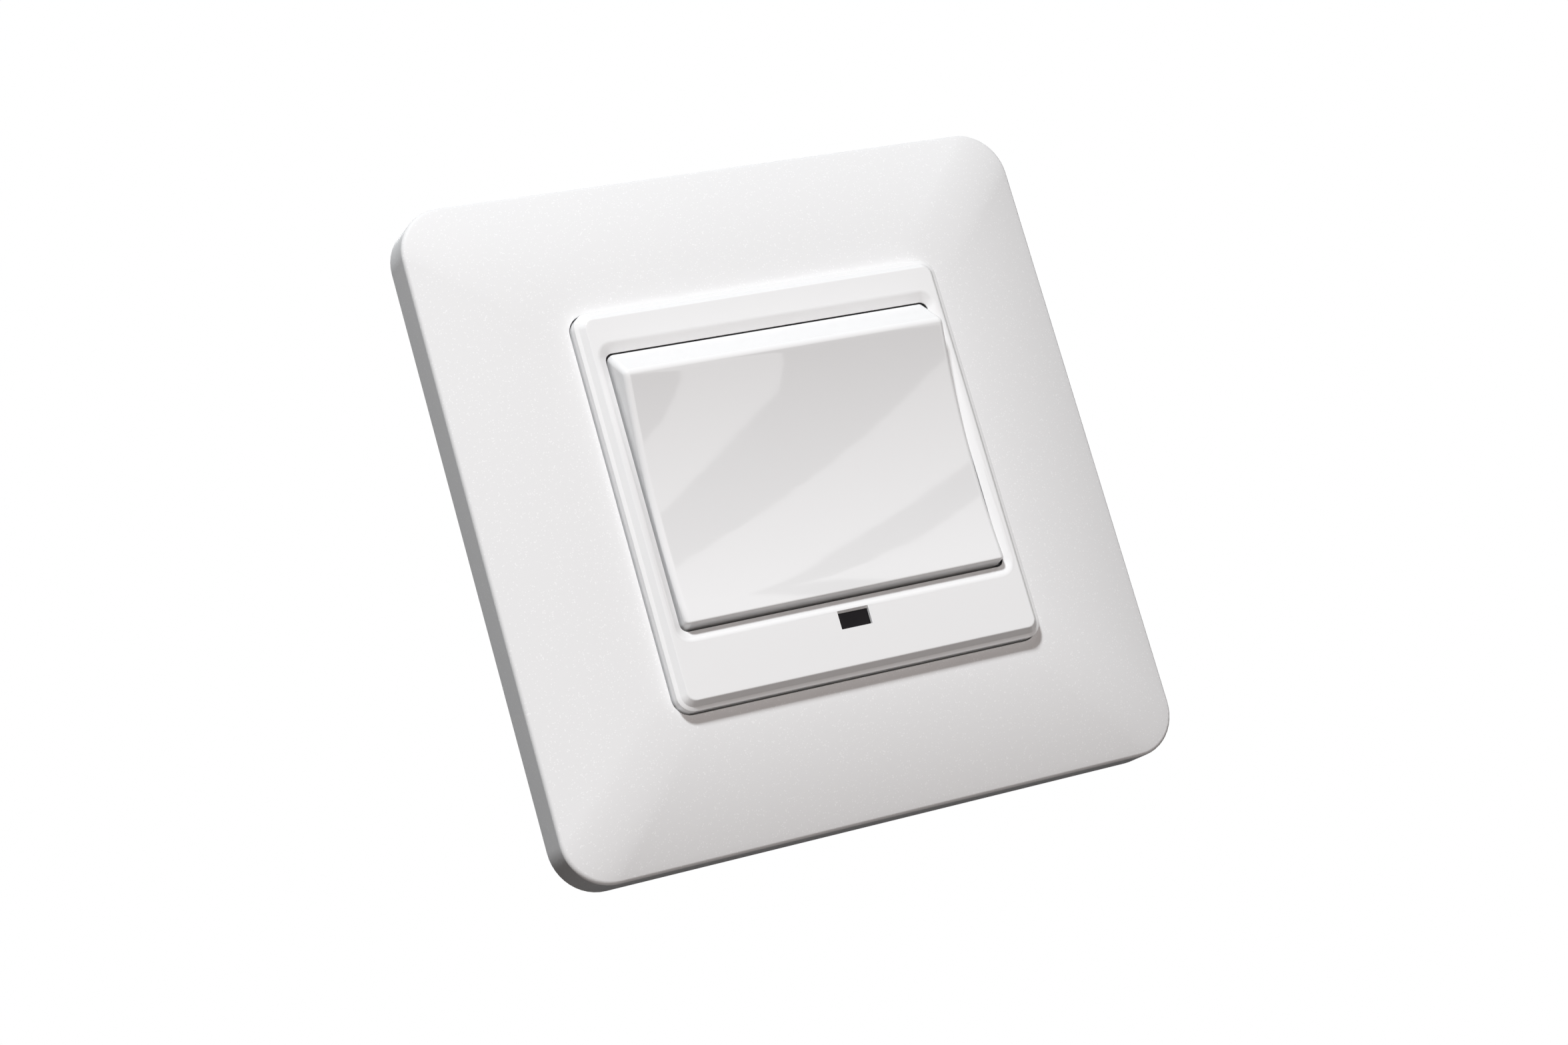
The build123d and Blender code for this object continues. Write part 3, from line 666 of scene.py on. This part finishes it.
def complete(piece, slot_name):
    """Smooth shading that keeps flat faces flat beside roundings, then the finish."""
    select_only(piece)
    bpy.ops.object.shade_smooth_by_angle(angle=SMOOTH_ANGLE)
    apply_modifier(piece, "WEIGHTED_NORMAL", weight=100, keep_sharp=True)
    piece.data.materials.clear()
    piece.data.materials.append(finish_for(slot_name))


class SWITCH_PG_cover_frame(bpy.types.PropertyGroup):
    """Sizes of the cover frame in millimetres."""

    size: bpy.props.FloatProperty(name="Size", description="Outer size", default=86.0)
    corner: bpy.props.FloatProperty(name="Corner", description="Outer corner radius", default=6.0)
    edge_height: bpy.props.FloatProperty(
        name="Edge Height", description="Height of the crest at the side walls", default=5.2
    )
    inner_height: bpy.props.FloatProperty(
        name="Inner Height", description="Height of the crown at the opening", default=8.25
    )
    edge_round: bpy.props.FloatProperty(
        name="Edge Round", description="Rounding of the crest", default=0.5
    )
    opening: bpy.props.FloatProperty(name="Opening", description="Size of the opening", default=51.3)
    opening_corner: bpy.props.FloatProperty(
        name="Opening Corner", description="Corner radius of the opening", default=2.3
    )
    wall: bpy.props.FloatProperty(name="Wall", description="Wall thickness", default=1.8)


class SWITCH_OT_cover_frame(bpy.types.Operator):
    """Crowned cover frame with a ledge in its opening and ribs behind its crown"""

    bl_idname = "switch.cover_frame"
    bl_label = "Cover Frame"

    # Millimetres: the flat band, the corners' loss of radius and the ledge of the opening,
    # the roof of the hollow, then the ribs, how far they reach into what they join, and
    # the gussets at their inner ends
    flat_band = 1.5
    corner_loss = 1.4
    ledge = 48.5
    ledge_foot = 4.6
    seat = 6.0
    hollow = 5.64
    crown_levels = 14
    rim_part = 0.017
    rib_offset = 18.0
    rib_half = 0.6
    rib_foot = 2.2
    into_collar, into_wall, into_crown = 0.4, 0.3, 1.0
    gusset_length, gusset_rise = 8.0, 1.2

    def execute(self, context):
        values = context.scene.switch_cover_frame
        self.values = values
        self.flat = values.opening / 2 - self.flat_band
        run = values.size / 2 - self.flat
        rise = values.inner_height - values.edge_height
        self.radius = (run ** 2 + rise ** 2) / (2 * rise)
        piece = new_piece("crowned_frame")
        stack_rings(piece, self.rings())
        soften(piece)
        combine(piece, self.ribs(), "UNION")
        complete(piece, "pearl_white")
        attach(piece, "switch_module")
        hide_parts("cover_frame")
        return {"FINISHED"}

    def crown(self, size):
        """Height of the crown where it is this size across."""
        run = size / 2 - self.flat
        return self.values.inner_height - self.radius + math.sqrt(self.radius ** 2 - run ** 2)

    def crown_ring(self, part_way, inset=0.0):
        """A ring part way from the crest to the opening, or the same one moved inwards."""
        values = self.values
        size = values.size + (values.opening - values.size) * part_way
        corner = values.corner - self.corner_loss * part_way - inset / 2
        return square(size - 2 * inset, corner, self.crown(size) - inset)

    def rings(self):
        """Up the side wall, over the crown, down into the opening and back through the hollow."""
        values = self.values
        opening, corner, wall = values.opening, values.opening_corner, values.wall
        collar = opening + 2 * wall
        steps = range(1, self.crown_levels)
        levels = [self.crown_ring(step / self.crown_levels) for step in steps]
        rim = self.crown_ring(self.rim_part, wall)
        return [
            square(values.size, values.corner, 0.0, 0.15),
            square(values.size, values.corner, values.edge_height, values.edge_round),
            *levels,
            square(opening, corner, self.crown(opening), 0.12),
            square(opening, corner, self.seat),
            square(self.ledge, corner, self.seat, 0.1),
            square(self.ledge, corner, self.ledge_foot, 0.1),
            square(collar, corner + wall, self.ledge_foot, 0.1),
            square(collar, corner + wall, self.hollow),
            rim,
            square(rim.width, rim.corner, 0.0, 0.1),
        ]

    def ribs(self):
        """Ribs between the collar and the side walls, modelled at one side and copied round."""
        values = self.values
        ribs = new_piece("ribs")
        inner = values.opening / 2 + values.wall - self.into_collar
        outer = values.size / 2 - values.wall + self.into_wall
        top = self.crown(2 * outer) - values.wall + self.into_crown
        gusset_end, gusset_top = inner + self.gusset_length, top + self.gusset_rise
        for middle in (-self.rib_offset, self.rib_offset):
            low, high = middle - self.rib_half, middle + self.rib_half
            add_block((inner, self.rib_foot, low), (outer, top, high))
            add_block((inner, self.rib_foot, low), (gusset_end, gusset_top, high))
        bpy.ops.mesh.select_all(action="SELECT")
        for _ in range(3):
            bpy.ops.mesh.duplicate()
            bpy.ops.transform.rotate(value=math.pi / 2, orient_axis="Y", center_override=(0, 0, 0))
        bpy.ops.object.mode_set(mode="OBJECT")
        return ribs


class SWITCH_PG_centre_plate(bpy.types.PropertyGroup):
    """Sizes of the centre plate in millimetres."""

    size: bpy.props.FloatProperty(name="Size", description="Outer size", default=51.0)
    corner: bpy.props.FloatProperty(name="Corner", description="Outer corner radius", default=2.1)
    wall_height: bpy.props.FloatProperty(
        name="Wall Height", description="Height of the side walls", default=9.5
    )
    face_size: bpy.props.FloatProperty(name="Face Size", description="Size of the face", default=48.7)
    face_height: bpy.props.FloatProperty(
        name="Face Height", description="Height of the face", default=10.5
    )
    recess_width: bpy.props.FloatProperty(
        name="Recess Width", description="Width of the recess about the rocker", default=47.4
    )
    recess_length: bpy.props.FloatProperty(
        name="Recess Length", description="Length of the recess about the rocker", default=38.3
    )


class SWITCH_OT_centre_plate(bpy.types.Operator):
    """Centre plate with a stepped rim, a sloped recess, the receiver's window and four clips"""

    bl_idname = "switch.centre_plate"
    bl_label = "Centre Plate"

    # Millimetres: the walls, the recess's foot and the opening behind it, the middles of
    # rocker and window, the window with its sloped side, and the upper right clip
    seat = 6.0
    back = 8.9
    wall = 1.4
    recess_foot = (45.4, 35.7)
    recess_back = (46.1, 36.4)
    rocker_z = 1.97
    window_z = -18.64
    window_size = (4.3, 2.06)
    window_corner = 0.08
    window_slope = 0.6
    window_face = 10.2
    clip = ((8.0, 2.9, 22.2), (16.0, 9.4, 23.4))
    hook_top = 4.4
    hook_reach = 0.8

    def execute(self, context):
        values = context.scene.switch_centre_plate
        piece = new_piece("raised_plate")
        stack_rings(piece, self.rings(values))
        soften(piece)
        combine(piece, self.window(), "DIFFERENCE")
        combine(piece, self.clips(), "UNION")
        complete(piece, "gloss_white")
        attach(piece, "switch_module")
        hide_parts("centre_plate")
        return {"FINISHED"}

    def rings(self, values):
        """Up the stepped side wall, over the face, down the recess and back inside the skirt."""
        inside = values.size - 2 * self.wall
        face, middle = values.face_height, self.rocker_z
        width, length = values.recess_width, values.recess_length
        return [
            square(values.size, values.corner, self.seat, 0.1),
            square(values.size, values.corner, values.wall_height, 0.08),
            square(values.size - 1.0, values.corner - 0.5, values.wall_height + 0.2, 0.05),
            square(values.face_size, 1.1, face, 0.12),
            square(values.face_size - 0.4, 1.0, face),
            Ring(width + 0.6, length + 0.6, middle, 2.2, face),
            Ring(width, length, middle, 1.9, face, 0.25),
            Ring(*self.recess_foot, middle, 1.0, face - 0.6, 0.08),
            Ring(*self.recess_back, middle, 1.0, self.back),
            square(inside, 1.0, self.back),
            square(inside, 1.0, self.seat, 0.1),
        ]

    def window(self):
        """Cutter for the window: its upper side slopes outwards at the face."""
        cutter = new_piece("window_cutter")
        width, length = self.window_size
        middle, corner, slope = self.window_z, self.window_corner, self.window_slope
        rings = [
            Ring(width, length, middle, corner, self.back - 1.0),
            Ring(width, length, middle, corner, self.window_face),
            Ring(width, length + slope, middle + slope / 2, corner, self.window_face + slope),
        ]
        stack_rings(cutter, rings, closed=False)
        bpy.ops.object.mode_set(mode="OBJECT")
        return cutter

    def clips(self):
        """Four hooked clips, modelled once above the axis and copied round."""
        clips = new_piece("clips")
        (left, foot, inner), (right, _, _) = self.clip
        top, reach = self.hook_top * MM, self.hook_reach * MM
        add_block(*self.clip)
        bpy.ops.mesh.bisect(plane_co=(0, -top, 0), plane_no=(0, 1, 0))
        choose(
            clips, "FACE",
            lambda face: face.normal.z < -0.9 and -face.calc_center_median().y < top,
        )
        bpy.ops.mesh.extrude_region_move(TRANSFORM_OT_translate={"value": (0, 0, -reach)})
        choose(
            clips, "VERT",
            lambda vert: near(vert.co.z, inner * MM - reach) and near(-vert.co.y, foot * MM),
        )
        bpy.ops.transform.translate(value=(0, -reach, 0))
        bpy.ops.mesh.select_all(action="SELECT")
        bpy.ops.mesh.duplicate()
        bpy.ops.transform.translate(value=(-(left + right) * MM, 0, 0))
        bpy.ops.mesh.select_all(action="SELECT")
        bpy.ops.mesh.duplicate()
        bpy.ops.transform.rotate(value=math.pi, orient_axis="Y", center_override=(0, 0, 0))
        face_outwards()
        bpy.ops.object.mode_set(mode="OBJECT")
        return clips


class SWITCH_OT_receiver_lens(bpy.types.Operator):
    """Smoked lens with a flange behind the plate"""

    bl_idname = "switch.receiver_lens"
    bl_label = "Receiver Lens"

    # Millimetres
    flange = (6.5, 4.32)
    flange_thickness = 0.8
    pane = (4.26, 2.02)
    pane_corner = 0.08
    pane_face = 10.1

    def execute(self, context):
        piece = new_piece("smoked_window")
        middle = SWITCH_OT_centre_plate.window_z
        back = SWITCH_OT_centre_plate.back
        rings = [
            Ring(*self.flange, middle, 0.4, back - self.flange_thickness, 0.08),
            Ring(*self.flange, middle, 0.4, back, 0.08),
            Ring(*self.pane, middle, self.pane_corner, back),
            Ring(*self.pane, middle, self.pane_corner, self.pane_face, 0.03),
        ]
        stack_rings(piece, rings, closed=False)
        soften(piece, 2)
        complete(piece, "smoked_lens")
        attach(piece, "switch_module")
        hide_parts("receiver_lens")
        return {"FINISHED"}


class SWITCH_PG_rocker(bpy.types.PropertyGroup):
    """Sizes of the rocker in millimetres."""

    width: bpy.props.FloatProperty(name="Width", description="Width of the rocker", default=44.8)
    dish: bpy.props.FloatProperty(name="Dish", description="Depth of the dished face", default=1.53)
    wall: bpy.props.FloatProperty(name="Wall", description="Wall thickness", default=1.6)
    side_round: bpy.props.FloatProperty(
        name="Side Round", description="Rounding of the side edges", default=0.75
    )
    top_round: bpy.props.FloatProperty(
        name="Top Round", description="Rounding of the upper end's edge", default=0.55
    )
    bottom_round: bpy.props.FloatProperty(
        name="Bottom Round", description="Rounding of the lower end's edge", default=0.25
    )


class SWITCH_OT_rocker(bpy.types.Operator):
    """Rocker: a dished shell with a sloped upper end, ribs and hooks underneath"""

    bl_idname = "switch.rocker"
    bl_label = "Rocker"

    # Millimetres: z and height of the side outline's four corners, the lower edge of the
    # walls, the rows of the dished face and what they leave free at its ends, then the
    # ribs and hooks underneath
    top_edge = (16.35, 13.7)
    bottom_edge = (-15.2, 11.45)
    top_foot = (19.62, 9.9)
    bottom_foot = (-15.62, 9.9)
    skirt = 6.4
    rows = 26
    bottom_gap = 2.0
    top_gap = 1.0
    cradle_top = 8.2
    rib_reach = 18.25
    rib_half = 0.6
    rib_top = 10.2
    rib_across, rib_along = 15.8, 9.0
    hook_along, hook_half = 7.0, 2.5
    hook_stem = ((17.05, 5.9), (18.25, 10.2))
    hook_nose = ((16.25, 6.3), (17.3, 6.75))

    def execute(self, context):
        values = context.scene.switch_rocker
        piece = new_piece("dished_rocker")
        self.skin(piece, values)
        apply_modifier(
            piece, "SOLIDIFY", thickness=values.wall * MM, offset=-1.0, use_even_offset=True
        )
        bpy.ops.object.mode_set(mode="EDIT")
        self.weigh(piece, values)
        face_outwards()
        soften(piece, 6)
        combine(piece, self.underside(), "UNION")
        complete(piece, "gloss_white")
        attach(piece, "rocker")
        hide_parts("rocker")
        return {"FINISHED"}

    def dished(self, z, dish):
        """Height of the dished face at z."""
        (z0, h0), (z1, h1) = self.bottom_edge, self.top_edge
        chord = math.hypot(z1 - z0, h1 - h0)
        radius = (chord ** 2 / 4 + dish ** 2) / (2 * dish)
        along = Vector(((z1 - z0) / chord, (h1 - h0) / chord))
        middle = Vector(((z0 + z1) / 2, (h0 + h1) / 2))
        centre = middle + Vector((-along.y, along.x)) * (radius - dish)
        return centre.y - math.sqrt(radius ** 2 - (z - centre.x) ** 2)

    def above_skirt(self, vert):
        """Whether a vertex lies above the lower edge of the walls."""
        return -vert.co.y > (self.skirt + 0.1) * MM

    def skin(self, piece, values):
        """A box cut into rows, whose upper vertices are moved row by row to the outline."""
        top, half = self.top_edge[1], values.width / 2
        add_block((-half, self.skirt, self.bottom_foot[0]), (half, top, self.top_foot[0]))
        low, high = self.bottom_edge[0] + self.bottom_gap, self.top_edge[0] - self.top_gap
        levels = [low + (high - low) * row / (self.rows - 1) for row in range(self.rows)]
        heights = {z: self.dished(z, values.dish) for z in levels}
        heights.update((self.bottom_edge, self.top_edge))
        for z in heights:
            bpy.ops.mesh.select_all(action="SELECT")
            bpy.ops.mesh.bisect(plane_co=(0, 0, z * MM), plane_no=(0, 0, 1))
        heights.update((self.bottom_foot, self.top_foot))
        for z, height in heights.items():
            choose(piece, "VERT", lambda vert: near(vert.co.z, z * MM) and self.above_skirt(vert))
            bpy.ops.transform.translate(value=(0, (top - height) * MM, 0))
        choose(piece, "FACE", lambda face: face.normal.y > 0.9)
        bpy.ops.mesh.delete(type="FACE")
        ends = (self.bottom_foot[0] * MM, self.top_foot[0] * MM)

        def seam(edge):
            """Whether an edge was left upright in a side wall by the cuts."""
            first, second = (vert.co for vert in edge.verts)
            upright = near(first.x, second.x) and near(first.z, second.z)
            return upright and not any(near(first.z, end) for end in ends)

        choose(piece, "EDGE", seam)
        bpy.ops.mesh.dissolve_edges(use_verts=True)
        face_outwards()

    def weigh(self, piece, values):
        """Bevel weights for the outer edges: sides and corners, then the two ends."""
        half = values.width / 2 * MM

        def at_side(edge):
            return any(all(near(vert.co.x, x) for vert in edge.verts) for x in (-half, half))

        def raised(edge):
            return all(self.above_skirt(vert) for vert in edge.verts)

        def at(edge, z):
            return all(near(vert.co.z, z * MM) for vert in edge.verts)

        def upright(edge):
            return at_side(edge) and (at(edge, self.top_foot[0]) or at(edge, self.bottom_foot[0]))

        choose(piece, "EDGE", lambda edge: at_side(edge) and raised(edge) or upright(edge))
        bpy.ops.transform.edge_bevelweight(value=values.side_round)
        rounds = ((self.top_edge[0], values.top_round), (self.bottom_edge[0], values.bottom_round))
        for z, radius in rounds:
            choose(piece, "EDGE", lambda edge: raised(edge) and at(edge, z))
            bpy.ops.transform.edge_bevelweight(value=radius)

    def underside(self):
        """Ribs that stand on the cradle, and hooks under its edges."""
        under = new_piece("rocker_underside")
        middle = SWITCH_OT_centre_plate.rocker_z
        foot, top, half = self.cradle_top, self.rib_top, self.rib_half
        lower, upper = middle - self.rib_along, middle + self.rib_along
        for z in (lower, upper):
            add_block((-self.rib_reach, foot, z - half), (self.rib_reach, top, z + half))
        for x in (-self.rib_across, self.rib_across):
            add_block((x - half, foot, lower), (x + half, top, upper))
        for side in (-1, 1):
            for z in (middle - self.hook_along, middle + self.hook_along):
                near_end, far_end = z - self.hook_half, z + self.hook_half
                for (inner, low), (outer, high) in (self.hook_stem, self.hook_nose):
                    left, right = sorted((side * inner, side * outer))
                    add_block((left, low, near_end), (right, high, far_end))
        bpy.ops.object.mode_set(mode="OBJECT")
        return under


class SWITCH_OT_carried_parts(bpy.types.Operator):
    """Finishes for every part that keeps its CAD shape"""

    bl_idname = "switch.carried_parts"
    bl_label = "Carried Parts"

    def execute(self, context):
        slots = {part["node"]: part["material_slot"] for part in frame["record"]["subparts"]}
        for name, node in frame["nodes"].items():
            for place in range(len(node.material_slots)):
                node.material_slots[place].material = finish_for(slots[name])
        return {"FINISHED"}


class SWITCH_PT_panel(bpy.types.Panel):
    """The steps that build the switch, in order"""

    bl_label = "Light Switch"
    bl_idname = "SWITCH_PT_panel"
    bl_space_type = "VIEW_3D"
    bl_region_type = "UI"
    bl_category = "Light Switch"

    def draw(self, context):
        column = self.layout.column()
        for operator in OPERATORS:
            column.operator(operator.bl_idname)


OPERATORS = (
    SWITCH_OT_stage,
    SWITCH_OT_cover_frame,
    SWITCH_OT_centre_plate,
    SWITCH_OT_receiver_lens,
    SWITCH_OT_rocker,
    SWITCH_OT_carried_parts,
)
GROUPS = {
    "switch_colors": SWITCH_PG_colors,
    "switch_stage": SWITCH_PG_stage,
    "switch_cover_frame": SWITCH_PG_cover_frame,
    "switch_centre_plate": SWITCH_PG_centre_plate,
    "switch_rocker": SWITCH_PG_rocker,
}


def register():
    for group in GROUPS.values():
        bpy.utils.register_class(group)
    for name, group in GROUPS.items():
        setattr(bpy.types.Scene, name, bpy.props.PointerProperty(type=group))
    for kind in (*OPERATORS, SWITCH_PT_panel):
        bpy.utils.register_class(kind)


def unregister():
    for kind in (SWITCH_PT_panel, *reversed(OPERATORS)):
        bpy.utils.unregister_class(kind)
    for name, group in reversed(GROUPS.items()):
        delattr(bpy.types.Scene, name)
        bpy.utils.unregister_class(group)


def main():
    register()
    for operator in OPERATORS:
        getattr(bpy.ops.switch, operator.bl_idname.split(".")[1])()


if __name__ == "__main__":
    main()
